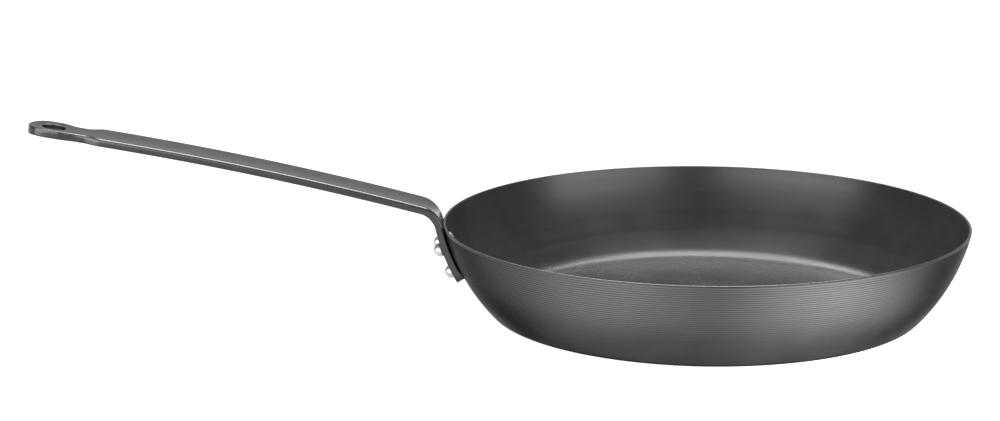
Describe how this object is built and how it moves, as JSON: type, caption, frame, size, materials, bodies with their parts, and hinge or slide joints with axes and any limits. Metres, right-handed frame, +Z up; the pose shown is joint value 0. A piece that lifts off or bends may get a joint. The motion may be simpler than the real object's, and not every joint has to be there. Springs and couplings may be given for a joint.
{
  "type": "frying pan",
  "caption": "Round steel frying pan with a flared wall, a flat base and a long riveted bar handle that ends in a hanging eye.",
  "frame": {"origin": "centre of the flat underside, on the pan's axis, in the plane the pan stands on", "axes": "+Z up along the pan's axis, +X away from the handle, which points along -X, +Y to the left seen from the handle's tip"},
  "size_m": [0.5422, 0.305, 0.1125],
  "materials": {
    "body_steel": "dark blued sheet steel with fine spinning rings, satin",
    "handle_steel": "dark grey mill-finish flat bar, satin",
    "rivet_metal": "bright hammered heads"
  },
  "bodies": {
    "root": {"pan_body": "body_steel", "handle": "handle_steel", "rivet_upper_left": "rivet_metal", "rivet_upper_right": "rivet_metal", "rivet_lower": "rivet_metal"}
  },
  "joints": []
}
